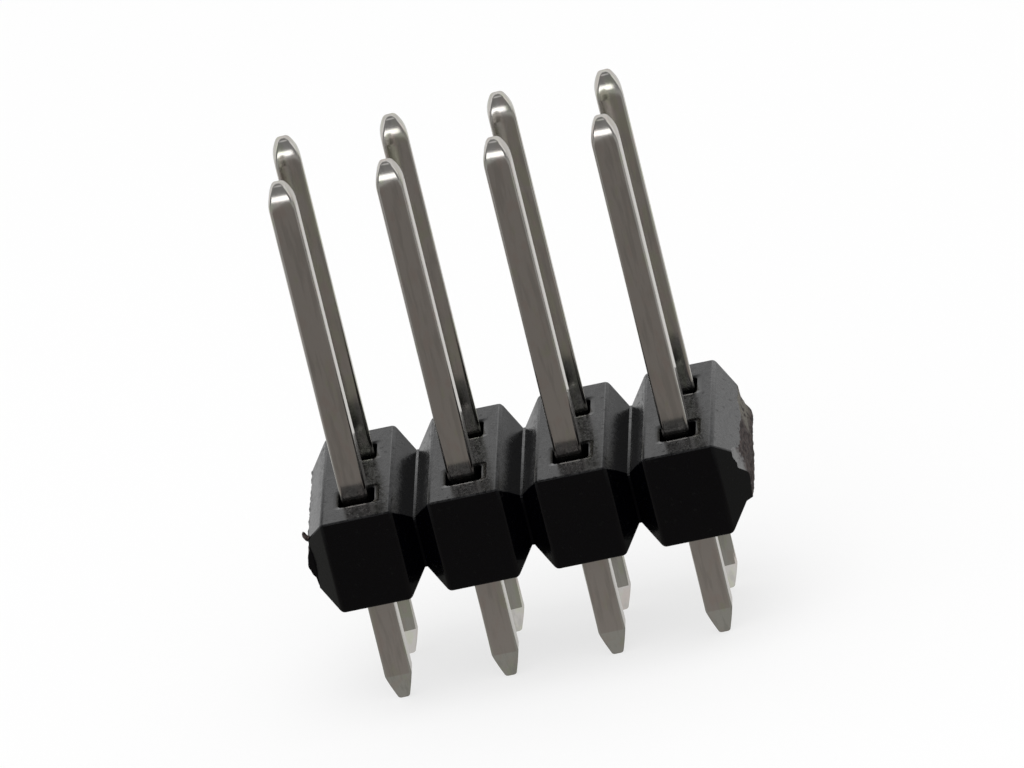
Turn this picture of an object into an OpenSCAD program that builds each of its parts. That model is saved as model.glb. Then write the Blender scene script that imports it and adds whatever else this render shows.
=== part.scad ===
// Two-row breakaway pin header: one moulded strip of square cells, joined by narrow
// necks, with one straight square pin pressed through each pin place.
// Millimetres. Origin at the centre of the pin grid, in the plane of the strip's
// underside, where it seats on a board. +X along the strip, +Y from the front row to
// the rear row, +Z up along the mating ends of the pins.

/* [Pin grid] */
// Spacing of the pins, along the strip and from row to row
pitch = 2.54; // [2.4:0.01:2.8]
// Number of pins in each row
columns = 4; // [2:1:10]

/* [Moulded strip] */
// Height of the strip from its underside to its top face
body_h = 2.27; // [2:0.01:3]
// Distance from the centres of a row to the face of the strip beside it
row_margin = 1.27; // [1.1:0.01:1.6]
// Rounding of the long edges of the strip
edge_r = 0.06; // [0.03:0.01:0.15]
// Rounding of the corners of a cell, where its flat faces turn into the grooves
cell_corner_r = 0.16; // [0.05:0.01:0.2]

/* [Breaking grooves] */
// Length of the slope from the flat of a cell down to the neck
groove_run = 0.42; // [0.3:0.01:0.6]
// Depth of the groove in the top face and in the underside
groove_drop = 0.49; // [0.3:0.01:0.7]
// Depth of the groove in the front and rear faces
groove_side = 0.53; // [0.3:0.01:0.65]
// Width of the flat land along the bottom of the groove
groove_land = 0.06; // [0.03:0.01:0.15]

/* [Pin wells] */
// Gap between a pin and each wall of the well around it
well_gap = 0.11; // [0.05:0.01:0.25]
// Depth of the well below the top face
well_depth = 0.9; // [0.4:0.05:1.4]
// Radius of the corners of the well
well_r = 0.1; // [0.04:0.01:0.2]

/* [Pins] */
// Width across the flats of the square pin
pin_w = 0.635; // [0.5:0.005:0.7]
// Radius of the long edges of the pin
pin_edge_r = 0.09; // [0.03:0.01:0.12]
// Height of the mating tip above the top face of the strip
mating_l = 8.13; // [4:0.01:15]
// Length of the tail below the underside of the strip
tail_l = 2.91; // [2.2:0.01:5]

/* [Mating tip] */
// Angle at which the coined flanks of the mating tip leave the straight sides
tip_lead = 1; // [0.5:0.5:8]
// Length of the coined flanks of the mating tip
tip_flank_l = 0.53; // [0.4:0.01:0.9]
// Width of the mating tip along the strip, where the flanks meet its round nose
tip_nose_w = 0.34; // [0.16:0.01:0.4]
// Depth of the mating tip from front to rear, where the flanks meet its round nose
tip_nose_d = 0.42; // [0.16:0.01:0.46]
// Rise of the round nose of the mating tip
tip_nose_rise = 0.1; // [0.04:0.01:0.12]

/* [Tail tip] */
// Angle at which the coined flanks of the tail tip leave the straight sides
tail_lead = 11; // [0.5:0.5:12]
// Length of the coined flanks of the tail tip
tail_flank_l = 0.6; // [0.4:0.01:0.9]
// Width of the tail tip where the flanks meet its blunt nose
tail_nose_w = 0.29; // [0.16:0.01:0.34]
// Rise of the blunt nose of the tail tip
tail_nose_rise = 0.08; // [0.04:0.01:0.12]

/* [Broken ends] */
// How far the torn left end bulges out of the neck, halfway up
left_bulge = 0.14; // [0.05:0.01:0.3]
// How far the torn right end bulges out of the neck, halfway up
right_bulge = 0.19; // [0.05:0.01:0.3]
// How far the foot of the right end stands out of the neck
right_foot = 0.09; // [0.02:0.01:0.2]
// How far the front slope of the last cell runs on past the neck before the tear
right_front = 0.12; // [0.02:0.01:0.2]
// How far the top slope of the last cell runs on past the neck before the tear
right_head = 0.1; // [0.02:0.01:0.16]
// Height of the ragged teeth of both tears
tooth_h = 0.03; // [0.01:0.01:0.08]
// Size of the burr left on the upper front corner of the left end
burr_w = 0.16; // [0.08:0.01:0.24]

/* [Hidden] */
ROWS = ["front", "rear"];

$fn = 48;
eps = 0.01;

plastic_black = [0.05, 0.05, 0.055];
tin_grey = [0.62, 0.60, 0.56];

body_l = columns * pitch;
body_d = pitch + 2 * row_margin;
cell_flat = pitch - 2 * groove_run - groove_land;
neck_d = body_d - 2 * groove_side;
neck_low = groove_drop;
neck_high = body_h - groove_drop;
well_w = pin_w + 2 * well_gap;
pin_half = pin_w / 2;
straight_low = -tail_l + tail_flank_l + tail_nose_rise;
straight_high = body_h + mating_l - tip_flank_l - tip_nose_rise;

neck_end = body_l / 2 - groove_land / 2;

// number of flats round the rounded corner of a cell, up a coined flank, and from the foot
// of a nose to its middle
corner_steps = 4;
flank_steps = 6;
nose_steps = 4;

// teeth of a torn end: how many lie across it and up it, and the turn that varies their
// height from one to the next
teeth_across = 11;
teeth_up = 8;
tooth_turn = 137;
// the least that a tear stands out of the neck, and how narrowly it bulges in the middle
tear_least = 0.01;
bulge_power = 3;

function pin_node(row, col) = str("pin_", ROWS[row], "_", col);
function column_x(col) = (col - (columns + 1) / 2) * pitch;
function row_y(row) = (row - 1 / 2) * pitch;

// height of tooth number i of a tear, between 0 and tooth_h
function tooth(i) = tooth_h * (1 + sin(i * tooth_turn)) / 2;

// half of one side of a cell, from its middle outwards: the flat at distance out, the
// rounded corner, and the slope down to the neck at distance out - drop
function half_cell(out, drop) =
    let (
        lean = atan2(drop, groove_run),
        corner_x = cell_flat / 2 - cell_corner_r * tan(lean / 2)
    )
    concat(
        [
            for (i = [0 : corner_steps])
                let (turn = lean * i / corner_steps)
                    [corner_x + cell_corner_r * sin(turn), out - cell_corner_r * (1 - cos(turn))]
        ],
        [[pitch / 2 - groove_land / 2, out - drop]]
    );

// the outline of one side of the strip, cell after cell from its left end to its right end
function side_line(out, drop) = [
    for (col = [1 : columns], end = [-1, 1])
        each end < 0
            ? [for (p = turned(half_cell(out, drop))) [column_x(col) - p[0], p[1]]]
            : [for (p = half_cell(out, drop)) [column_x(col) + p[0], p[1]]]
];

// a torn end seen along one axis: a ragged line from low to high, which stands out of
// the neck by foot at its low end and head at its high end, and by bulge more midway
function torn_line(low, high, teeth, seed, foot, head, bulge) = [
    for (i = [0 : teeth])
        let (t = i / teeth)
            [
                neck_end + foot + (head - foot) * t
                    + bulge * pow(sin(180 * t), bulge_power) + tooth(i + seed),
                low + (high - low) * t,
            ]
];

function turned(points) = [for (i = [len(points) - 1 : -1 : 0]) points[i]];
function mirrored(points) = [for (p = turned(points)) [p[0], -p[1]]];

// a square of side w with round corners, centred
module round_square(w, r) {
    union() {
        square([w - 2 * r, w], center = true);
        square([w, w - 2 * r], center = true);
        for (x = [-1, 1], y = [-1, 1])
            translate([x * (w / 2 - r), y * (w / 2 - r)]) circle(r);
    }
}

// seen from above: cells and necks between the front and rear faces, with the torn ends
module plan_outline() {
    rear = side_line(body_d / 2, groove_side);
    left_most = tear_least + left_bulge;
    right_most = tear_least + right_bulge;
    right_low = -neck_d / 2 + right_front * groove_side / groove_run;
    right_tear = torn_line(right_low, neck_d / 2, teeth_across, 0, right_front, right_most, 0);
    left_tear = torn_line(-neck_d / 2, neck_d / 2, teeth_across, 4, left_most, tear_least, 0);
    polygon(concat(
        rear,
        turned(right_tear),
        mirrored(rear),
        [for (p = left_tear) [-p[0], p[1]]]
    ));
}

// seen from the front: cells and necks between the top face and the underside
module front_outline() {
    top = side_line(body_h, groove_drop);
    underside = [for (p = turned(top)) [p[0], body_h - p[1]]];
    right_high = neck_high - right_head * groove_drop / groove_run;
    right_tear = torn_line(neck_low, right_high, teeth_up, 2, right_foot, right_head, right_bulge);
    left_tear = torn_line(neck_low, neck_high, teeth_up, 7, tear_least, tear_least, left_bulge);
    polygon(concat(
        top,
        turned(right_tear),
        underside,
        [for (p = left_tear) [-p[0], p[1]]]
    ));
}

// seen from the end: the flat cell with its rounded long edges
module end_outline() {
    union() {
        translate([-body_d / 2 + edge_r, 0]) square([body_d - 2 * edge_r, body_h]);
        translate([-body_d / 2, edge_r]) square([body_d, body_h - 2 * edge_r]);
        for (y = [-1, 1], z = [edge_r, body_h - edge_r])
            translate([y * (body_d / 2 - edge_r), z]) circle(edge_r);
    }
}

// a small hooked burr, drawn out of the upper front corner of the left tear
module burr() {
    translate([-neck_end, -neck_d / 2 + burr_w, neck_high])
        rotate([90, 0, 0])
            linear_extrude(burr_w)
                polygon(burr_w * [
                    [0.5, -0.4],
                    [0.5, 0.2],
                    [0.1, 0.6],
                    [-0.1, 1],
                    [-0.5, 1.05],
                    [-0.7, 0.75],
                    [-0.6, 0.35],
                    [-0.2, -0.1],
                ]);
}

module header_body() {
    color(plastic_black)
        difference() {
            union() {
                intersection() {
                    linear_extrude(body_h) plan_outline();
                    translate([0, body_d / 2, 0])
                        rotate([90, 0, 0])
                            linear_extrude(body_d) front_outline();
                    translate([-body_l, 0, 0])
                        rotate([90, 0, 90])
                            linear_extrude(2 * body_l) end_outline();
                }
                burr();
            }
            for (row = [0 : 1], col = [1 : columns])
                translate([column_x(col), row_y(row), 0]) {
                    translate([0, 0, -eps])
                        linear_extrude(body_h + 2 * eps) round_square(pin_w, pin_edge_r);
                    translate([0, 0, body_h - well_depth])
                        linear_extrude(well_depth + eps) round_square(well_w, well_r);
                }
        }
}

// the right half of a coined end, from its shoulder at height 0 to the middle of its nose:
// a flank that leaves the straight side at the angle lead and curves in, and the nose's arc
function coined_line(lead, flank_l, nose_w, nose_rise) =
    let (
        nose_half = nose_w / 2,
        chord_lean = atan2(pin_half - nose_half, flank_l),
        flank_turn = 2 * (chord_lean - lead),
        flank_r = norm([pin_half - nose_half, flank_l]) / (2 * sin(flank_turn / 2)),
        nose_r = (nose_half * nose_half + nose_rise * nose_rise) / (2 * nose_rise),
        nose_turn = asin(nose_half / nose_r)
    )
    concat(
        [
            for (i = [0 : flank_steps])
                let (turn = lead + flank_turn * i / flank_steps)
                    [
                        pin_half - flank_r * (cos(lead) - cos(turn)),
                        flank_r * (sin(turn) - sin(lead)),
                    ]
        ],
        [
            for (i = [1 : nose_steps])
                let (turn = nose_turn * (1 - i / nose_steps))
                    [nose_r * sin(turn), flank_l + nose_rise - nose_r * (1 - cos(turn))]
        ]
    );

// the whole side view of a pin, from the tail tip to the mating tip, whose flanks meet the
// nose at the given width
module pin_side_view(tip_w) {
    tail = coined_line(tail_lead, tail_flank_l, tail_nose_w, tail_nose_rise);
    tip = coined_line(tip_lead, tip_flank_l, tip_w, tip_nose_rise);
    half = concat(
        [for (p = turned(tail)) [p[0], straight_low - p[1]]],
        [for (p = tip) [p[0], straight_high + p[1]]]
    );
    polygon(concat(half, [for (i = [len(half) - 2 : -1 : 1]) [-half[i][0], half[i][1]]]));
}

// a square pin with round edges, coined on four sides at both ends
module pin(row, col) {
    color(tin_grey)
        translate([column_x(col), row_y(row), 0])
            intersection() {
                translate([0, 0, -tail_l])
                    linear_extrude(tail_l + body_h + mating_l) round_square(pin_w, pin_edge_r);
                translate([0, pin_half, 0])
                    rotate([90, 0, 0]) linear_extrude(pin_w) pin_side_view(tip_nose_w);
                translate([-pin_half, 0, 0])
                    rotate([90, 0, 90]) linear_extrude(pin_w) pin_side_view(tip_nose_d);
            }
}

header_body();
for (row = [0 : 1], col = [1 : columns])
    pin(row, col);
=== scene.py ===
"""A pin header strip: a moulded black strip of notched cells, snapped off at both ends,
with two rows of square tin-plated pins pressed through it."""
import math

import bmesh
import bpy
from bpy.props import (
    FloatProperty,
    FloatVectorProperty,
    PointerProperty,
)
from mathutils import Matrix, Vector, noise


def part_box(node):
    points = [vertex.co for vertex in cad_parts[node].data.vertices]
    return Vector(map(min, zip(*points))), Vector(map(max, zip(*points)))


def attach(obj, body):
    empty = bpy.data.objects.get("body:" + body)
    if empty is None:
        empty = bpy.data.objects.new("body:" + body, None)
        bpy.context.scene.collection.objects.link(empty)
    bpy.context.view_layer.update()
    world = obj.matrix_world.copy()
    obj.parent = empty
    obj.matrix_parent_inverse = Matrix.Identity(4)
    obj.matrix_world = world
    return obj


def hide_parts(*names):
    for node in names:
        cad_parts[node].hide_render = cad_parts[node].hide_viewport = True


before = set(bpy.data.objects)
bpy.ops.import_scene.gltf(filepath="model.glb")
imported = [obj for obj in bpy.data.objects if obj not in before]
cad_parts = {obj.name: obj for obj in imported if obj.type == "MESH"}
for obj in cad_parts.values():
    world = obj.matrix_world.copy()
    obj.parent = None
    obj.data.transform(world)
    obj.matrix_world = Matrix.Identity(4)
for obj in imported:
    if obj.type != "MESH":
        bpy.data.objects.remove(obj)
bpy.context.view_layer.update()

bl_info = {
    "name": "Pin header strip",
    "version": (1, 0, 0),
    "blender": (4, 5, 0),
    "location": "3D View > Sidebar > Header",
    "description": "Builds a snapped pin header strip with its plated pins and a white studio",
    "category": "Object",
}

MM = 0.001

# how sharply the coined flanks curve in, at the mating tips and at the tails: 1 is straight
# and 2 is about an arc
TIP_POWER = 2.1
TAIL_POWER = 1.15

# the frame: the strip's section, and the pins' rows, columns, width and reach
STRIP_LOW, STRIP_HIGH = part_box("header_body")
PIN_NODES = sorted(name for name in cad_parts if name.startswith("pin_"))
PIN_LOW, PIN_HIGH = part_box("pin_front_1")
PIN_W = PIN_HIGH.x - PIN_LOW.x
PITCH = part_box("pin_front_2")[0].x - PIN_LOW.x
COLUMNS = len(PIN_NODES) // 2
STRIP_H = STRIP_HIGH.z
STRIP_D = STRIP_HIGH.y - STRIP_LOW.y
HALF_L = COLUMNS * PITCH / 2
FLOOR_Z = PIN_LOW.z


class StripSizes(bpy.types.PropertyGroup):
    """Sizes of the moulded strip."""

    groove_run: FloatProperty(
        name="Groove run",
        description="Length of the slope from the flat of a cell down to the neck",
        default=0.42 * MM, unit="LENGTH", precision=5)
    groove_drop: FloatProperty(
        name="Groove drop",
        description="Depth of the groove in the top face and in the underside",
        default=0.49 * MM, unit="LENGTH", precision=5)
    groove_side: FloatProperty(
        name="Groove side",
        description="Depth of the groove in the front and rear faces",
        default=0.53 * MM, unit="LENGTH", precision=5)
    groove_land: FloatProperty(
        name="Groove land",
        description="Width of the flat along the bottom of the groove",
        default=0.06 * MM, unit="LENGTH", precision=5)
    cell_corner: FloatProperty(
        name="Cell corner",
        description="Rounding of a cell's corners, where its flat faces turn into the grooves",
        default=0.16 * MM, unit="LENGTH", precision=5)
    edge_r: FloatProperty(
        name="Edge rounding",
        description="Rounding of the long edges of the strip",
        default=0.04 * MM, unit="LENGTH", precision=5)
    well_gap: FloatProperty(
        name="Well gap",
        description="Gap between the place of a pin and each wall of the well around it",
        default=0.11 * MM, unit="LENGTH", precision=5)
    well_depth: FloatProperty(
        name="Well depth",
        description="Depth of the well below the top face",
        default=0.9 * MM, unit="LENGTH", precision=5)
    well_r: FloatProperty(
        name="Well corner",
        description="Radius of the corners of the well",
        default=0.1 * MM, unit="LENGTH", precision=5)
    rim_w: FloatProperty(
        name="Well lip",
        description="Width of the slightly sunk lip round the well",
        default=0.12 * MM, unit="LENGTH", precision=5)
    rim_sink: FloatProperty(
        name="Well lip sink",
        description="How far the lip sinks towards the well",
        default=0.013 * MM, unit="LENGTH", precision=5)
    rim_r: FloatProperty(
        name="Well rim",
        description="Rounding of the rim of the well",
        default=0.015 * MM, unit="LENGTH", precision=5)
    hole_play: FloatProperty(
        name="Hole play",
        description="Gap between a pin and the hole that it is pressed through",
        default=0.004 * MM, unit="LENGTH", precision=6)
    left_bulge: FloatProperty(
        name="Left bulge",
        description="How far the torn left end bulges out of the neck",
        default=0.12 * MM, unit="LENGTH", precision=5)
    right_bulge: FloatProperty(
        name="Right bulge",
        description="How far the torn right end bulges out of the neck",
        default=0.12 * MM, unit="LENGTH", precision=5)
    right_foot: FloatProperty(
        name="Right foot",
        description="How far the foot of the right end stands out of the neck",
        default=0.09 * MM, unit="LENGTH", precision=5)
    right_chip: FloatProperty(
        name="Right chip",
        description="Depth of the chip at the upper front corner of the right end",
        default=0.14 * MM, unit="LENGTH", precision=5)
    tear_grain: FloatProperty(
        name="Tear grain",
        description="Height of the ragged grain of the torn ends",
        default=0.05 * MM, unit="LENGTH", precision=5)
    burr: FloatProperty(
        name="Burr",
        description="Size of the burr on the upper front corner of the left end",
        default=0.12 * MM, unit="LENGTH", precision=5)


class PinSizes(bpy.types.PropertyGroup):
    """Sizes of the square pins."""

    edge_r: FloatProperty(
        name="Edge rounding",
        description="Radius of the long edges of the pin",
        default=0.09 * MM, unit="LENGTH", precision=5)
    tip_flank: FloatProperty(
        name="Mating flank",
        description="Length of the coined flanks of the mating tip",
        default=0.53 * MM, unit="LENGTH", precision=5)
    tip_nose_w: FloatProperty(
        name="Mating nose width",
        description="Width of the mating tip along the strip, where its flanks meet the nose",
        default=0.34 * MM, unit="LENGTH", precision=5)
    tip_nose_d: FloatProperty(
        name="Mating nose depth",
        description="Depth of the mating tip from front to rear, where its flanks meet the nose",
        default=0.42 * MM, unit="LENGTH", precision=5)
    tip_nose_rise: FloatProperty(
        name="Mating nose rise",
        description="Height of the rounded nose of the mating tip",
        default=0.1 * MM, unit="LENGTH", precision=5)
    tail_flank: FloatProperty(
        name="Tail flank",
        description="Length of the coined flanks of the tail",
        default=0.6 * MM, unit="LENGTH", precision=5)
    tail_nose_w: FloatProperty(
        name="Tail nose width",
        description="Width of the tail where its flanks meet the nose",
        default=0.29 * MM, unit="LENGTH", precision=5)
    tail_nose_rise: FloatProperty(
        name="Tail nose rise",
        description="Height of the blunt nose of the tail",
        default=0.08 * MM, unit="LENGTH", precision=5)
    front_short: FloatProperty(
        name="Front row drop",
        description="How much lower the mating tips of the front row end than the rear row's",
        default=0.08 * MM, unit="LENGTH", precision=5)
    lean: FloatProperty(
        name="Lean",
        description="How far the pins lean along the strip, towards their mating tips",
        default=math.radians(0.25), unit="ROTATION")
    front_shift: FloatProperty(
        name="Front row shift",
        description="How far along the strip the front row stands off the middle of its wells",
        default=-0.03 * MM, unit="LENGTH", precision=5)
    rear_shift: FloatProperty(
        name="Rear row shift",
        description="How far along the strip the rear row stands off the middle of its wells",
        default=0.04 * MM, unit="LENGTH", precision=5)
    front_back: FloatProperty(
        name="Front row back",
        description="How far the front row stands behind the middle of its wells",
        default=0.07 * MM, unit="LENGTH", precision=5)
    rear_turn: FloatProperty(
        name="Rear row turn",
        description="How far the rear row's pins are turned about their own length",
        default=math.radians(6.5), unit="ROTATION")


class Finishes(bpy.types.PropertyGroup):
    """Colours of the plastic and the plating."""

    plastic: FloatVectorProperty(
        name="Plastic",
        description="Colour of the moulded plastic",
        default=(0.0002, 0.0002, 0.0007), subtype="COLOR")
    scuff: FloatVectorProperty(
        name="Scuffs",
        description="Colour of the scuffs on the top face",
        default=(0.036, 0.036, 0.037), subtype="COLOR")
    tear_dark: FloatVectorProperty(
        name="Tear, dark",
        description="Colour of the hollows of the torn plastic",
        default=(0.014, 0.008, 0.008), subtype="COLOR")
    tear_pale: FloatVectorProperty(
        name="Tear, pale",
        description="Colour of the stretched crests of the torn plastic",
        default=(0.06, 0.044, 0.04), subtype="COLOR")
    tear_olive: FloatVectorProperty(
        name="Tear, olive",
        description="Colour of the worn upper rear part of the torn plastic",
        default=(0.13, 0.12, 0.1), subtype="COLOR")
    tear_white: FloatVectorProperty(
        name="Tear, whitened",
        description="Colour of the whitened plastic at the front corner of the right tear",
        default=(0.2, 0.2, 0.2), subtype="COLOR")
    tin: FloatVectorProperty(
        name="Tin",
        description="Colour of the tin plating",
        default=(0.575, 0.555, 0.53), subtype="COLOR")
    tin_green: FloatVectorProperty(
        name="Tin, green cast",
        description="Colour of the plating where it has a faint green cast",
        default=(0.55, 0.555, 0.475), subtype="COLOR")
    tin_dull: FloatVectorProperty(
        name="Tin, dull",
        description="Colour of the dull streaks along the pins",
        default=(0.50, 0.485, 0.46), subtype="COLOR")
    tin_brown: FloatVectorProperty(
        name="Tin, brown cast",
        description="Colour of the plating where it has a faint brown cast",
        default=(0.57, 0.525, 0.495), subtype="COLOR")


class StudioSizes(bpy.types.PropertyGroup):
    """The camera's place and the studio round the strip."""

    azimuth: FloatProperty(
        name="Azimuth",
        description="Angle of the camera round the strip, from straight in front",
        default=math.radians(6.542), unit="ROTATION")
    elevation: FloatProperty(
        name="Elevation",
        description="Angle of the camera above the horizon",
        default=math.radians(22.332), unit="ROTATION")
    roll: FloatProperty(
        name="Roll",
        description="Turn of the camera about its own line of sight",
        default=math.radians(-14.099), unit="ROTATION")
    lens: FloatProperty(
        name="Lens",
        description="Focal length of the camera, in millimetres",
        default=1000.0)
    frame_w: FloatProperty(
        name="Frame width",
        description="Width that the picture shows at the strip",
        default=23.697 * MM, unit="LENGTH", precision=5)
    aim_right: FloatProperty(
        name="Aim right",
        description="How far the camera aims to the right of the middle of the top face",
        default=-0.135 * MM, unit="LENGTH", precision=5)
    aim_up: FloatProperty(
        name="Aim up",
        description="How far the camera aims above the middle of the top face",
        default=1.343 * MM, unit="LENGTH", precision=5)
    floor_size: FloatProperty(
        name="Floor",
        description="Side of the square floor",
        default=1.2, unit="LENGTH")
    softbox_elevation: FloatProperty(
        name="Softbox elevation",
        description="Height of the middle of the front softbox above the horizon",
        default=math.radians(10), unit="ROTATION")
    softbox_power: FloatProperty(
        name="Softbox power",
        description="Power of the front softbox, in watts",
        default=0.095)
    top_power: FloatProperty(
        name="Top lamp power",
        description="Power of the broad lamp overhead, in watts",
        default=0.5)
    # the card's colours are painted reflections: it glows at these tones and only reflections see
    # it
    card: FloatVectorProperty(
        name="Card",
        description="Colour of the dark card in front, which only reflections show",
        default=(0.205, 0.190, 0.178), subtype="COLOR")
    # painted reflection of the strip's shadow on the floor right beside the strip
    painted_near_shadow: FloatVectorProperty(
        name="Card, near",
        description="Colour of the part of the card right beside the strip",
        default=(0.31, 0.31, 0.29), subtype="COLOR")
    # painted reflection that fades the card out at the far left and right
    painted_side_reflection: FloatVectorProperty(
        name="Card, sides",
        description="Colour of the far left and right of the card",
        default=(0.4, 0.4, 0.39), subtype="COLOR")


def clear_selection():
    """Leaves no object selected, so that the next operator acts on a new one alone."""
    bpy.ops.object.select_all(action="DESELECT")


def select_only(part):
    """Selects one part alone and makes it active."""
    clear_selection()
    part.select_set(True)
    bpy.context.view_layer.objects.active = part


def settle(part):
    """Moves a part's place, turn and size into its mesh."""
    select_only(part)
    bpy.ops.object.transform_apply(location=True, rotation=True, scale=True)


def add_block(name, low, high):
    """A block from its lowest to its highest corner."""
    clear_selection()
    bpy.ops.mesh.primitive_cube_add(size=1)
    block = bpy.context.active_object
    block.name = name
    block.location = (Vector(low) + Vector(high)) / 2
    block.scale = Vector(high) - Vector(low)
    settle(block)
    return block


def start_edit(part):
    """Opens one part in edit mode."""
    select_only(part)
    bpy.ops.object.mode_set(mode="EDIT")


def end_edit():
    """Returns to object mode."""
    bpy.ops.object.mode_set(mode="OBJECT")


def pick(part, kind, wanted):
    """Selects the vertices, edges or faces, by kind, that wanted accepts, in edit mode."""
    bpy.ops.mesh.select_all(action="DESELECT")
    bpy.ops.mesh.select_mode(type=kind)
    mesh = bmesh.from_edit_mesh(part.data)
    items = {"VERT": mesh.verts, "EDGE": mesh.edges, "FACE": mesh.faces}[kind]
    for item in items:
        if wanted(item):
            item.select_set(True)
    mesh.select_flush_mode()
    bmesh.update_edit_mesh(part.data)


def middle(edge):
    """The middle of an edge."""
    return (edge.verts[0].co + edge.verts[1].co) / 2


def is_upright(edge):
    """True for an edge that runs along Z."""
    along = edge.verts[1].co - edge.verts[0].co
    return abs(along.z) > 0.99 * along.length


def apply_modifier(part, kind, **settings):
    """Adds one modifier to a part and applies it."""
    select_only(part)
    modifier = part.modifiers.new(kind.title(), kind)
    for name, value in settings.items():
        setattr(modifier, name, value)
    bpy.ops.object.modifier_apply(modifier=modifier.name)


def cut(part, cutter, operation="DIFFERENCE"):
    """Cuts a closed solid out of a part, or welds it on, and removes the solid."""
    apply_modifier(
        part, "BOOLEAN", object=cutter, operation=operation, solver="EXACT",
        material_mode="TRANSFER")
    bpy.data.objects.remove(cutter)


def join(parts):
    """Joins several parts into the first."""
    clear_selection()
    for part in parts:
        part.select_set(True)
    bpy.context.view_layer.objects.active = parts[0]
    bpy.ops.object.join()
    return parts[0]


def smooth(part, angle):
    """Smooths a part's shading, with flat faces kept flat and edges past the angle sharp."""
    select_only(part)
    bpy.ops.object.shade_smooth_by_angle(angle=angle)
    apply_modifier(part, "WEIGHTED_NORMAL", mode="FACE_AREA_WITH_ANGLE", keep_sharp=True)


def keep(part, node):
    """Puts a finished piece in the place of its CAD node."""
    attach(part, "root")
    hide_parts(node)


def column_x(column):
    """Place of a column of pins along the strip."""
    return (column - (COLUMNS + 1) / 2) * PITCH


def well_places():
    """Middle of every well, front row first."""
    return [
        Vector((column_x(column), side * PITCH / 2, 0))
        for side in (-1, 1)
        for column in range(1, COLUMNS + 1)
    ]


def pin_places(sizes):
    """Where the pins really stand, a little off the middle of their wells."""
    front = Vector((sizes.front_shift, sizes.front_back, 0))
    rear = Vector((sizes.rear_shift, 0, 0))
    return [place + (front if place.y < 0 else rear) for place in well_places()]


def square_bar(name, centre, width, radius, low, high):
    """An upright square bar with rounded long edges."""
    half = Vector((width / 2, width / 2, 0))
    bar = add_block(
        name, centre - half + Vector((0, 0, low)), centre + half + Vector((0, 0, high)))
    start_edit(bar)
    pick(bar, "EDGE", is_upright)
    bpy.ops.mesh.bevel(offset=radius, segments=4, affect="EDGES", clamp_overlap=True)
    end_edit()
    return bar


def stand(part, place, sizes):
    """Turns and leans a part that is upright on the origin's axis, and moves it to a pin's
    place."""
    turn = Matrix.Rotation(sizes.rear_turn if place.y > 0 else 0, 4, "Z")
    lean = Matrix.Shear("XY", 4, (math.tan(sizes.lean), 0))
    up = Vector((0, 0, STRIP_H))
    part.data.transform(Matrix.Translation(place + up) @ lean @ Matrix.Translation(-up) @ turn)


def scuff_and_groove_shade(strip):
    """Gives the grooves between the cells a copy of the plastic that reflects less, a painted shade
    in the grooves, and the top its scuffs.
    """
    necks = [column_x(column + 0.5) for column in range(1, COLUMNS)]
    for face in strip.data.polygons:
        inside = abs(face.center.x) < column_x(COLUMNS)
        in_neck = any(abs(face.center.x - neck) < 0.05 * MM for neck in necks)
        sloped = face.normal.z > 0.3 and abs(face.normal.x) > 0.3
        # groove faces take the less reflective copy of the plastic: a painted shade that darkens
        # the grooves
        if sloped and (inside or face.normal.x < 0) or in_neck and face.normal.z < 0.3:
            face.material_index = 1
        elif face.normal.z > 0.3:
            face.material_index = 2


def groove_line(drop, sizes):
    """Where a cell's flat would meet its groove, the angle of the slope, and where the
    rounded corner between them starts."""
    edge = PITCH / 2 - sizes.groove_land / 2 - sizes.groove_run
    lean = math.atan2(drop, sizes.groove_run)
    return edge, lean, edge - sizes.cell_corner * math.tan(lean / 2)


def groove_stations(sizes):
    """Distances from the middle of a cell at which its side bends: round its corner, and at
    the neck."""
    _, lean, start = groove_line(sizes.groove_drop, sizes)
    bends = [start + sizes.cell_corner * math.sin(lean * n / 4) for n in range(5)]
    return bends + [PITCH / 2 - sizes.groove_land / 2]


def groove_depth(out, drop, sizes):
    """How deep a cell's side lies below its flat, at a distance from the cell's middle."""
    edge, lean, start = groove_line(drop, sizes)
    if out <= start:
        return 0
    if out < start + sizes.cell_corner * math.sin(lean):
        return sizes.cell_corner - math.sqrt(sizes.cell_corner ** 2 - (out - start) ** 2)
    return min((out - edge) * drop / sizes.groove_run, drop)


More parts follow.
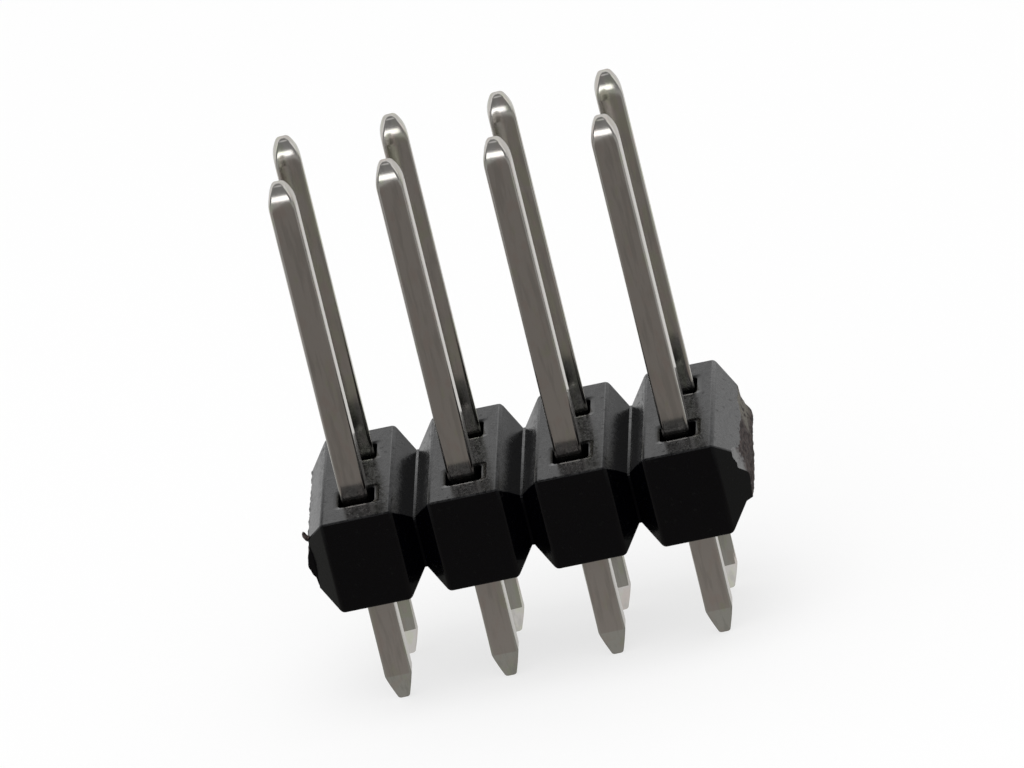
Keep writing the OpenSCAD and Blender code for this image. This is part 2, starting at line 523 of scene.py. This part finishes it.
def notched_block(sizes):
    """The strip before its wells are cut: a long block pinched at every neck."""
    stub = 0.5 * MM
    strip = add_block(
        "header_strip",
        (-HALF_L - stub, -STRIP_D / 2, 0),
        (HALF_L + stub, STRIP_D / 2, STRIP_H))
    bends = [
        (column_x(column) + side * out, out)
        for column in range(1, COLUMNS + 1) for side in (-1, 1) for out in groove_stations(sizes)
    ]
    start_edit(strip)
    for x, out in bends:
        bpy.ops.mesh.select_all(action="SELECT")
        bpy.ops.mesh.bisect(plane_co=(x, 0, 0), plane_no=(1, 0, 0), threshold=0.001 * MM)

    def pinch(wanted, out):
        pick(strip, "VERT", wanted)
        bpy.ops.transform.resize(
            value=(
                1,
                1 - 2 * groove_depth(out, sizes.groove_side, sizes) / STRIP_D,
                1 - 2 * groove_depth(out, sizes.groove_drop, sizes) / STRIP_H),
            center_override=(0, 0, STRIP_H / 2))

    for x, out in bends:
        pinch(lambda vert: abs(vert.co.x - x) < 0.001 * MM, out)
    pinch(lambda vert: abs(vert.co.x) > HALF_L, PITCH / 2)
    # the top and front slopes of the last cell run on past the right neck
    run_on = (stub + sizes.groove_land / 2) / sizes.groove_run
    pick(strip, "VERT", lambda vert: vert.co.x > HALF_L and vert.co.z > STRIP_H / 2)
    bpy.ops.transform.translate(value=(0, 0, -run_on * sizes.groove_drop))
    pick(strip, "VERT", lambda vert: vert.co.x > HALF_L and vert.co.y < 0)
    bpy.ops.transform.translate(value=(0, run_on * sizes.groove_side, 0))

    def is_long_crest(edge):
        along = edge.verts[1].co - edge.verts[0].co
        return abs(along.x) > 0.1 * along.length and edge.is_manifold and (
            edge.calc_face_angle_signed() > math.radians(20))

    pick(strip, "EDGE", is_long_crest)
    bpy.ops.mesh.bevel(
        offset=sizes.edge_r, segments=3, affect="EDGES", clamp_overlap=False,
        miter_outer="SHARP")
    end_edit()
    return strip


def lip_cutter(place, sizes):
    """A shallow upturned pyramid that sinks the lip round one well."""
    width = PIN_W + 2 * sizes.well_gap
    lip = square_bar(
        "lip", place, width, sizes.well_r, STRIP_H - sizes.rim_sink, STRIP_H + sizes.rim_sink)
    swell = 1 + 4 * sizes.rim_w / width
    start_edit(lip)
    pick(lip, "VERT", lambda vert: vert.co.z > STRIP_H)
    bpy.ops.transform.resize(value=(swell, swell, 1), center_override=place)
    end_edit()
    return lip


def cut_wells(strip, sizes, pins):
    """Cuts the well around each pin place, its lip, and the hole of the pin below it."""
    above = STRIP_H + MM
    cut(strip, join([lip_cutter(place, sizes) for place in well_places()]))
    cut(strip, join([
        square_bar("well", place, PIN_W + 2 * sizes.well_gap, sizes.well_r,
                   STRIP_H - sizes.well_depth, above)
        for place in well_places()
    ]))
    holes = []
    for place in pin_places(pins):
        hole = square_bar(
            "hole", Vector((0, 0, 0)), PIN_W + 2 * sizes.hole_play, pins.edge_r, -MM, above)
        stand(hole, place, pins)
        holes.append(hole)
    cut(strip, join(holes))

    reach = PIN_W / 2 + sizes.well_gap + sizes.rim_w + 0.01 * MM

    def at_lip(edge, height):
        place = middle(edge)
        return all(abs(vert.co.z - height) < 0.001 * MM for vert in edge.verts) and any(
            max(abs(place.x - well.x), abs(place.y - well.y)) < reach for well in well_places())

    start_edit(strip)
    pick(strip, "EDGE", lambda edge: at_lip(edge, STRIP_H - sizes.rim_sink) and (
        edge.calc_face_angle_signed() > math.radians(50)))
    bpy.ops.mesh.bevel(
        offset=sizes.rim_r, segments=2, affect="EDGES", clamp_overlap=True)
    # the lip starts at a crisp line
    pick(strip, "EDGE", lambda edge: at_lip(edge, STRIP_H))
    bpy.ops.mesh.mark_sharp()
    end_edit()


def ease(value, low, high):
    """0 where value is below low, 1 where it is above high, and smooth in between."""
    part = min(max((value - low) / (high - low), 0), 1)
    return part * part * (3 - 2 * part)


def tear_reach(side, y, z, sizes):
    """How far the torn end stands out of the neck at a place on its face."""
    neck_h = STRIP_H - 2 * sizes.groove_drop
    half_d = STRIP_D / 2 - sizes.groove_side
    up = min(max((z - sizes.groove_drop) / neck_h, 0), 1)
    back = min(max((y + half_d) / (2 * half_d), 0), 1)
    if side < 0:
        reach = sizes.left_bulge * math.sin(math.pi * up) ** 3 * (1.1 - 0.7 * back)
        limit = 0.16 * MM
    else:
        rear = ease(back, 0.5, 1)
        ridge = math.sin(math.pi * up ** 0.7) ** 5
        wall = 0.5 + 0.5 * math.sin(math.pi * up)
        reach = sizes.right_foot * (1 - up)
        reach += sizes.right_bulge * (rear * 1.1 * ridge + (1 - rear) * wall)
        # its upper front corner is chipped
        reach -= sizes.right_chip * ease(-y, 1.55 * MM, 1.95 * MM) * ease(z, 1.1 * MM, 1.4 * MM)
        limit = STRIP_HIGH.x - (HALF_L - sizes.groove_land / 2)
    place = Vector((side * 7.3, y / MM, z / MM))
    coarse = noise.noise(place * 2.3)
    fine = noise.noise(place * 7.0)
    finest = noise.noise(place * 19.0)
    grain = sizes.tear_grain * (0.5 * coarse + 0.45 * fine + 0.25 * finest)
    return min(reach + 0.01 * MM + grain, limit)


def tear_end(strip, side, sizes, torn):
    """Breaks off the strip's end past the neck, along a ragged bulging face."""
    fine = 0.045 * MM
    height = 2.2 * MM
    depth = 4.8 * MM
    clear_selection()
    bpy.ops.mesh.primitive_grid_add(
        x_subdivisions=round(depth / fine), y_subdivisions=round(height / fine), size=1)
    breaker = bpy.context.active_object
    breaker.name = "breaker"
    for vert in breaker.data.vertices:
        y = vert.co.x * depth
        z = vert.co.y * height + STRIP_H / 2
        vert.co = (side * (HALF_L - sizes.groove_land / 2 + tear_reach(side, y, z, sizes)), y, z)
    breaker.data.materials.append(torn)
    start_edit(breaker)
    bpy.ops.mesh.select_all(action="SELECT")
    bpy.ops.mesh.extrude_region_move(TRANSFORM_OT_translate={"value": (side * 2 * MM, 0, 0)})
    bpy.ops.mesh.select_all(action="SELECT")
    bpy.ops.mesh.normals_make_consistent(inside=False)
    end_edit()
    cut(strip, breaker)


def add_burr(strip, sizes, torn):
    """Welds the small hooked burr on to the upper front corner of the left end."""
    size = sizes.burr
    end = Vector((
        -HALF_L + sizes.groove_land / 2 + 0.35 * size,
        -STRIP_D / 2 + sizes.groove_side + 0.5 * size,
        STRIP_H - sizes.groove_drop - 0.1 * size))
    reach = Vector((0.3 * size, 0.45 * size, 0.45 * size))
    burr = add_block("burr", end - reach, end + reach)
    burr.data.materials.append(torn)
    end.x -= reach.x
    start_edit(burr)
    for step, swell in (((-0.2, 0, 0.4), 0.85), ((-0.25, 0, 0.4), 1.2), ((-0.35, 0, 0.2), 1.1),
                        ((-0.25, 0, -0.1), 0.55)):
        step = Vector(step) * size
        end += step
        pick(burr, "FACE", lambda face: face.normal.x < -0.6)
        bpy.ops.mesh.extrude_region_move(TRANSFORM_OT_translate={"value": step})
        bpy.ops.transform.resize(value=(1, swell, swell), center_override=end)
    bpy.ops.mesh.select_all(action="SELECT")
    bpy.ops.mesh.bevel(offset=0.08 * size, segments=2, affect="EDGES", clamp_overlap=True)
    end_edit()
    cut(strip, burr, "UNION")


def coined_line(power, flank_l, nose_w, nose_rise):
    """Height above the shoulder and half width of each ring of a coined end: a flank that
    curves in by the given power, and a nose that carries its slope on."""
    nose_half = nose_w / 2
    inset = PIN_W / 2 - nose_half
    steps = 10
    line = [
        (flank_l * n / steps, PIN_W / 2 - inset * (n / steps) ** power)
        for n in range(1, steps + 1)
    ]
    corner = nose_half - nose_rise * power * inset / flank_l
    caps = 8
    for n in range(1, caps + 1):
        t = 0.95 * n / caps
        up = (2 * t * (1 - t) + t * t) * nose_rise
        line.append((flank_l + up, (1 - t) ** 2 * nose_half + 2 * t * (1 - t) * corner))
    return line


def coin_end(pin, shoulder, sign, power, flank_l, nose, nose_rise):
    """Draws the flat end of a square bar out into a coined tip, ring by ring. nose holds the
    nose's width and depth."""
    front = coined_line(power, flank_l, nose[0], nose_rise)
    side = coined_line(power, flank_l, nose[1], nose_rise)
    pick(pin, "FACE", lambda face: sign * face.normal.z > 0.9)
    height = 0
    width = depth = PIN_W / 2
    for (up, half_w), (_, half_d) in zip(front, side):
        bpy.ops.mesh.extrude_region_move(
            TRANSFORM_OT_translate={"value": (0, 0, sign * (up - height))})
        bpy.ops.transform.resize(
            value=(half_w / width, half_d / depth, 1),
            center_override=(0, 0, shoulder + sign * up))
        height = up
        width = half_w
        depth = half_d


def straight_pin(sizes):
    """One square pin on the origin's axis, coined at both ends."""
    high = PIN_HIGH.z - sizes.tip_flank - sizes.tip_nose_rise
    low = PIN_LOW.z + sizes.tail_flank + sizes.tail_nose_rise
    pin = square_bar("pin", Vector((0, 0, 0)), PIN_W, sizes.edge_r, low, high)
    tip = (sizes.tip_nose_w, sizes.tip_nose_d)
    tail = (sizes.tail_nose_w, sizes.tail_nose_w)
    start_edit(pin)
    coin_end(pin, high, 1, TIP_POWER, sizes.tip_flank, tip, sizes.tip_nose_rise)
    coin_end(pin, low, -1, TAIL_POWER, sizes.tail_flank, tail, sizes.tail_nose_rise)
    # the tail's flanks start at a crisp line
    pick(pin, "EDGE", lambda edge: all(abs(vert.co.z - low) < 0.001 * MM for vert in edge.verts))
    bpy.ops.mesh.mark_sharp()
    end_edit()
    return pin


class Signal:
    """A number or colour that varies over a surface. Sums and products add nodes."""

    def __init__(self, shader, socket):
        self.shader = shader
        self.socket = socket

    def maths(self, operation, first, second=0):
        """The output of one Math node."""
        node = self.shader.node(
            "ShaderNodeMath", {"operation": operation}, {0: first, 1: second})
        return Signal(self.shader, node.outputs[0])

    def __add__(self, other):
        return self.maths("ADD", self, other)

    __radd__ = __add__

    def __sub__(self, other):
        return self.maths("SUBTRACT", self, other)

    def __rsub__(self, other):
        return self.maths("SUBTRACT", other, self)

    def __mul__(self, other):
        return self.maths("MULTIPLY", self, other)

    __rmul__ = __mul__

    def __abs__(self):
        return self.maths("ABSOLUTE", self)

    def between(self, low, high):
        """0 where this is below low, 1 where it is above high, and smooth in between."""
        node = self.shader.node(
            "ShaderNodeMapRange", {"interpolation_type": "SMOOTHSTEP"},
            {"Value": self, "From Min": low, "From Max": high})
        return Signal(self.shader, node.outputs["Result"])


class Shader:
    """The node tree of one material or of the world."""

    def __init__(self, owner):
        owner.use_nodes = True
        self.is_world = isinstance(owner, bpy.types.World)
        self.tree = owner.node_tree
        self.tree.nodes.clear()

    def node(self, kind, settings=None, values=None):
        """Adds a node, with its settings first and then its sockets' values or links."""
        node = self.tree.nodes.new(kind)
        for name, value in (settings or {}).items():
            setattr(node, name, value)
        for name, value in (values or {}).items():
            socket = node.inputs[name]
            if isinstance(value, Signal):
                value = value.socket
            if isinstance(value, bpy.types.NodeSocket):
                self.tree.links.new(value, socket)
            else:
                socket.default_value = value
        return node

    def place(self):
        """The place on the piece, in metres."""
        return self.node("ShaderNodeTexCoord").outputs["Object"]

    def stretched(self, place, scale):
        """A place scaled along its three axes."""
        node = self.node("ShaderNodeMapping", {}, {"Vector": place, "Scale": scale})
        return node.outputs["Vector"]

    def noise(self, place, size, detail=3.0, distortion=0.0):
        """Cloudy noise between 0 and 1 with spots of about the given size."""
        node = self.node(
            "ShaderNodeTexNoise", {"noise_dimensions": "3D"},
            {"Vector": place, "Scale": 1 / size, "Detail": detail, "Distortion": distortion})
        return Signal(self, node.outputs["Fac"])

    def blend(self, amount, first, second):
        """The first colour where amount is 0 and the second where it is 1."""
        node = self.node(
            "ShaderNodeMix", {"data_type": "RGBA"}, {0: amount, 6: first, 7: second})
        return Signal(self, node.outputs[2])

    def bump(self, height, strength, distance):
        """A surface normal raised by a height between 0 and 1."""
        node = self.node(
            "ShaderNodeBump", {}, {"Height": height, "Strength": strength, "Distance": distance})
        return node.outputs["Normal"]

    def surface(self, output):
        """Ends the tree in its output."""
        kind = "ShaderNodeOutputWorld" if self.is_world else "ShaderNodeOutputMaterial"
        self.node(kind, {}, {"Surface": output})


def colour(value):
    """A colour property as a colour with its alpha."""
    return (*value, 1)


def moulded_plastic(name, finishes, ior, scuffed_from):
    """Black moulded plastic with faint flow marks, and with scuffs above a height, thinned along
    the front edge of the top as a painted shade.
    """
    material = bpy.data.materials.new(name)
    shader = Shader(material)
    place = shader.place()
    where = shader.node("ShaderNodeSeparateXYZ", {}, {0: place})
    height = Signal(shader, where.outputs["Z"])
    grain = shader.noise(place, 0.05 * MM, detail=4.0)
    flow = shader.noise(
        shader.stretched(place, (0.7, 0.5, 1)), 0.1 * MM, detail=3.0, distortion=1.2)
    cloud = shader.noise(place, 0.7 * MM, detail=2.0)
    specks = shader.noise(place, 0.14 * MM, detail=1.0).between(0.66, 0.74)
    rubbed = shader.noise(
        shader.stretched(place, (1, 0.45, 1)), 0.16 * MM, detail=4.0, distortion=1.5)
    mottled = shader.noise(shader.stretched(place, (1, 0.4, 1)), 0.06 * MM, detail=3.0)
    across = Signal(shader, where.outputs["Y"])
    # the scuffs are wear; the last factor thins them to 60% along the front edge of the top, a
    # painted shade that darkens the top there and its reflection in the pins' feet
    worn = (0.6 * rubbed + 0.4 * mottled).between(0.34, 0.66) * height.between(
        scuffed_from, scuffed_from + 0.2 * MM) * (
        0.6 + 0.4 * across.between(-2.1 * MM, -1.75 * MM))
    roughness = 0.12 + 0.08 * flow.between(0.4, 0.7) + 0.05 * cloud + 0.2 * specks + 0.16 * worn
    bsdf = shader.node("ShaderNodeBsdfPrincipled", {}, {
        "Base Color": shader.blend(worn, colour(finishes.plastic), colour(finishes.scuff)),
        "Roughness": roughness,
        "IOR": ior,
        "Normal": shader.bump(0.3 * grain + 0.7 * flow, 0.32, 0.01 * MM),
    })
    shader.surface(bsdf.outputs["BSDF"])
    return material


def torn_plastic(finishes):
    """Plastic that has been snapped: rough, dark in its hollows and pale on its crests."""
    material = bpy.data.materials.new("torn_plastic")
    shader = Shader(material)
    place = shader.place()
    where = shader.node("ShaderNodeSeparateXYZ", {}, {0: place})
    along = Signal(shader, where.outputs["X"])
    across = Signal(shader, where.outputs["Y"])
    height = Signal(shader, where.outputs["Z"])
    patch = shader.noise(shader.stretched(place, (1, 0.5, 1)), 0.1 * MM, detail=5.0)
    fibre = shader.noise(place, 0.07 * MM, detail=3.0)
    torn = shader.blend(
        patch.between(0.35, 0.65), colour(finishes.tear_dark), colour(finishes.tear_pale))
    olive = (across + 0.5 * MM * fibre).between(0.5 * MM, 0.9 * MM) * height.between(
        1.0 * MM, 1.25 * MM)
    torn = shader.blend(olive * patch.between(0.3, 0.5), torn, colour(finishes.tear_olive))
    ragged = 0.4 * MM * fibre
    corner = (1 - (across + ragged).between(-1.65 * MM, -1.35 * MM)) * (
        (height + ragged).between(1.3 * MM, 1.5 * MM)) * along.between(0, MM)
    bsdf = shader.node("ShaderNodeBsdfPrincipled", {}, {
        "Base Color": shader.blend(corner, torn, colour(finishes.tear_white)),
        "Roughness": 0.7,
        "IOR": 1.25,
        "Normal": shader.bump(fibre, 0.9, 0.04 * MM),
    })
    shader.surface(bsdf.outputs["BSDF"])
    return material


def pin_plating(finishes):
    """Satin tin plate on drawn wire, with faint streaks along it and a changing cast."""
    material = bpy.data.materials.new("pin_plating")
    shader = Shader(material)
    place = shader.place()
    where = shader.node("ShaderNodeSeparateXYZ", {}, {0: place})
    rear_row = Signal(shader, where.outputs["Y"]).between(-0.1 * MM, 0.1 * MM)
    tip = Signal(shader, where.outputs["Z"]).between(9.5 * MM, 9.9 * MM)
    along = shader.stretched(place, (1, 1, 0.06))
    streaks = shader.noise(along, 0.045 * MM, detail=3.0)
    casts = shader.noise(shader.stretched(place, (1, 1, 0.5)), 0.3 * MM, detail=3.0)
    warm = shader.noise(shader.stretched(place, (1, 1, 0.45)), 0.25 * MM, detail=3.0)
    grain = shader.noise(place, 0.03 * MM, detail=2.0)
    green = (casts + 0.14 * rear_row).between(0.55, 0.7)
    tin = shader.blend(green, colour(finishes.tin), colour(finishes.tin_green))
    tin = shader.blend(warm.between(0.5, 0.66), tin, colour(finishes.tin_brown))
    wide = shader.noise(shader.stretched(place, (1, 1, 0.12)), 0.12 * MM, detail=3.0)
    tin = shader.blend(wide.between(0.48, 0.68), tin, colour(finishes.tin_dull))
    bsdf = shader.node("ShaderNodeBsdfPrincipled", {}, {
        "Base Color": tin,
        "Metallic": 1.0,
        "Specular Tint": (0.7, 0.69, 0.67, 1),
        "Roughness": 0.09 + 0.06 * streaks + 0.02 * grain + 0.03 * tip,
        "Normal": shader.bump(streaks * 0.9 + grain * 0.1, 0.06, 0.004 * MM),
    })
    shader.surface(bsdf.outputs["BSDF"])
    return material


def seen_rays(shader):
    """Three signals: 1 for camera rays, for reflections and for rays through glass."""
    rays = shader.node("ShaderNodeLightPath")
    camera = Signal(shader, rays.outputs["Is Camera Ray"])
    glossy = Signal(shader, rays.outputs["Is Glossy Ray"])
    glass = Signal(shader, rays.outputs["Is Transmission Ray"])
    return camera, glossy, glass


def white_floor():
    """Pale floor: seen as white, with the soft shadow of the strip kept."""
    material = bpy.data.materials.new("white_floor")
    shader = Shader(material)
    camera, glossy, glass = seen_rays(shader)
    paper = shader.node("ShaderNodeBsdfDiffuse", {}, {"Color": (0.9, 0.9, 0.9, 1)})
    glow = shader.node("ShaderNodeEmission", {}, {"Color": (1, 1, 1, 1), "Strength": 1.0})
    mix = shader.node("ShaderNodeMixShader", {}, {
        0: 0.7 * (camera + glossy + glass),
        1: paper.outputs[0],
        2: glow.outputs[0],
    })
    shader.surface(mix.outputs[0])
    return material


def painted_reflection_card(studio):
    """A dark card round the strip that glows at its own tone and that only reflections see: a
    painted reflection of dark surroundings, paler close by and at the sides.
    """
    material = bpy.data.materials.new("painted_reflection_card")
    shader = Shader(material)
    where = shader.node("ShaderNodeSeparateXYZ", {}, {0: shader.place()})
    front = Signal(shader, where.outputs["Y"])
    out = abs(Signal(shader, where.outputs["X"]))
    card = Vector(studio.card)
    # paler from 12 mm out towards the strip, and paler still right beside it: a painted reflection
    # of the strip's shadow on the floor; paler again at the far sides, where the painted reflection
    # fades out
    tone = shader.blend(front.between(-12 * MM, -3 * MM), colour(card), colour(card * 1.3))
    tone = shader.blend(front.between(-2.6 * MM, -2.3 * MM), tone, colour(studio.painted_near_shadow))
    tone = shader.blend(out.between(15 * MM, 25 * MM), tone, colour(studio.painted_side_reflection))
    card = shader.node("ShaderNodeEmission", {}, {"Color": tone, "Strength": 1.0})
    shader.surface(card.outputs[0])
    return material


def studio_world():
    """White all round to the camera. Reflections see a dim ceiling and a dim front."""
    world = bpy.data.worlds.new("studio")
    bpy.context.scene.world = world
    shader = Shader(world)
    camera, glossy, glass = seen_rays(shader)
    way = shader.node("ShaderNodeSeparateXYZ", {}, {
        0: shader.node("ShaderNodeTexCoord").outputs["Generated"]})
    behind = Signal(shader, way.outputs["Y"]).between(-0.55, 0.0)
    up = Signal(shader, way.outputs["Z"])
    studio = 0.25 + 0.75 * behind * (1 - up.between(0.55, 0.8)) + 0.4 * up.between(0.94, 0.99)
    level = camera + glass + glossy * studio + 0.78 * (1 - camera - glass - glossy)
    background = shader.node("ShaderNodeBackground", {}, {"Color": (1, 1, 1, 1), "Strength": level})
    shader.surface(background.outputs[0])


def add_sheet(name, low, high, z, material):
    """A flat sheet of the stage between two corners."""
    clear_selection()
    bpy.ops.mesh.primitive_plane_add(size=1)
    sheet = bpy.context.active_object
    sheet.name = name
    sheet.location = ((low[0] + high[0]) / 2, (low[1] + high[1]) / 2, z)
    sheet.scale = (high[0] - low[0], high[1] - low[1], 1)
    settle(sheet)
    sheet.data.materials.append(material)
    return sheet


def add_lamp(name, azimuth, elevation, distance, size, power):
    """A rectangular lamp that faces the strip."""
    clear_selection()
    bpy.ops.object.light_add(type="AREA")
    lamp = bpy.context.active_object
    lamp.name = name
    lamp.data.shape = "RECTANGLE"
    lamp.data.size = size[0]
    lamp.data.size_y = size[1]
    lamp.data.energy = power
    turn = Matrix.Rotation(azimuth, 4, "Z") @ Matrix.Rotation(math.pi / 2 - elevation, 4, "X")
    lamp.matrix_world = turn @ Matrix.Translation((0, 0, distance))
    return lamp


def add_camera(studio):
    """The camera at the picture's angle."""
    clear_selection()
    bpy.ops.object.camera_add()
    camera = bpy.context.active_object
    camera.name = "camera"
    camera.data.lens = studio.lens
    camera.data.sensor_width = 36
    distance = studio.lens * studio.frame_w / camera.data.sensor_width
    turn = (
        Matrix.Rotation(studio.azimuth, 4, "Z")
        @ Matrix.Rotation(math.pi / 2 - studio.elevation, 4, "X")
        @ Matrix.Rotation(studio.roll, 4, "Z"))
    aim = Matrix.Translation((0, 0, STRIP_H))
    step = Matrix.Translation((studio.aim_right, studio.aim_up, distance))
    camera.matrix_world = aim @ turn @ step
    camera.data.clip_start = 0.01
    camera.data.clip_end = 10
    bpy.context.scene.camera = camera


class HEADER_OT_add_strip(bpy.types.Operator):
    """Model the moulded strip with its grooves, wells, holes and torn ends"""

    bl_idname = "header.add_strip"
    bl_label = "Add moulded strip"

    def execute(self, context):
        scene = context.scene
        sizes = scene.header_strip
        finishes = scene.header_finishes
        torn = torn_plastic(finishes)
        strip = notched_block(sizes)
        # the groove plastic is the same plastic with a lower IOR, so that it reflects less: a
        # painted shade in the grooves
        for name, ior, scuffed_from in (
                ("header_plastic", 1.3, STRIP_H),
                ("groove_plastic_painted_shade", 1.15, 2 * MM),
                ("top_plastic", 1.29, MM)):
            strip.data.materials.append(moulded_plastic(name, finishes, ior, scuffed_from))
        scuff_and_groove_shade(strip)
        cut_wells(strip, sizes, scene.header_pins)
        for side in (-1, 1):
            tear_end(strip, side, sizes, torn)
        add_burr(strip, sizes, torn)
        smooth(strip, math.radians(32))
        keep(strip, "header_body")
        return {"FINISHED"}


class HEADER_OT_add_pins(bpy.types.Operator):
    """Model one coined square pin and stand a copy of it in every pin place"""

    bl_idname = "header.add_pins"
    bl_label = "Add pins"

    def execute(self, context):
        scene = context.scene
        sizes = scene.header_pins
        plating = pin_plating(scene.header_finishes)
        first = straight_pin(sizes)
        first.data.materials.append(plating)
        for node, place in zip(PIN_NODES, pin_places(sizes)):
            pin = first.copy()
            pin.data = first.data.copy()
            pin.name = "plated_" + node
            scene.collection.objects.link(pin)
            if node.startswith("pin_front"):
                for vert in pin.data.vertices:
                    if vert.co.z > STRIP_H:
                        vert.co.z -= sizes.front_short
            stand(pin, place, sizes)
            smooth(pin, math.radians(32))
            keep(pin, node)
        bpy.data.objects.remove(first)
        return {"FINISHED"}


class HEADER_OT_set_stage(bpy.types.Operator):
    """Lay the floor and the dark card of painted reflections, light the strip and place the camera
    """

    bl_idname = "header.set_stage"
    bl_label = "Set stage"

    def execute(self, context):
        studio = context.scene.header_studio
        half = studio.floor_size / 2
        add_sheet("floor", (-half, -half), (half, half), FLOOR_Z, white_floor())
        painted_reflection = painted_reflection_card(studio)
        for name, low, high in (
                ("front_painted_reflection", (-half, -half), (half, 0)),
                ("left_painted_reflection", (-half, 0), (-6 * MM, 7 * MM)),
                ("right_painted_reflection", (6 * MM, 0), (half, 7 * MM))):
            # each card glows at a set tone and only reflections see it: a painted reflection of
            # dark surroundings
            card = add_sheet(name, low, high, FLOOR_Z + 0.02 * MM, painted_reflection)
            card.visible_camera = False
            card.visible_diffuse = False
            card.visible_shadow = False
        studio_world()
        add_lamp("softbox", math.radians(-6), studio.softbox_elevation, 0.3, (0.22, 0.058),
                 studio.softbox_power)
        top = add_lamp("top_lamp", 0, math.radians(75), 0.35, (0.3, 0.3), studio.top_power)
        top.visible_glossy = False
        add_camera(studio)
        context.scene.view_settings.view_transform = "Standard"
        return {"FINISHED"}


class HEADER_PT_panel(bpy.types.Panel):
    """Sizes, finishes and steps of the pin header strip"""

    bl_idname = "HEADER_PT_panel"
    bl_label = "Pin header strip"
    bl_space_type = "VIEW_3D"
    bl_region_type = "UI"
    bl_category = "Header"

    def draw(self, context):
        for operator in OPERATORS:
            self.layout.operator(operator.bl_idname)
        for name in SETTINGS:
            group = getattr(context.scene, name)
            box = self.layout.box()
            for prop in group.__annotations__:
                box.prop(group, prop)


SETTINGS = {
    "header_strip": StripSizes,
    "header_pins": PinSizes,
    "header_finishes": Finishes,
    "header_studio": StudioSizes,
}
OPERATORS = (HEADER_OT_add_strip, HEADER_OT_add_pins, HEADER_OT_set_stage)


def register():
    """Registers the settings, the operators and the panel."""
    for name, group in SETTINGS.items():
        bpy.utils.register_class(group)
        setattr(bpy.types.Scene, name, PointerProperty(type=group))
    for operator in OPERATORS:
        bpy.utils.register_class(operator)
    bpy.utils.register_class(HEADER_PT_panel)


def unregister():
    """Takes the panel, the operators and the settings out again."""
    bpy.utils.unregister_class(HEADER_PT_panel)
    for operator in reversed(OPERATORS):
        bpy.utils.unregister_class(operator)
    for name, group in SETTINGS.items():
        delattr(bpy.types.Scene, name)
        bpy.utils.unregister_class(group)


def main():
    register()
    bpy.ops.header.add_strip()
    bpy.ops.header.add_pins()
    bpy.ops.header.set_stage()


if __name__ == "__main__":
    main()
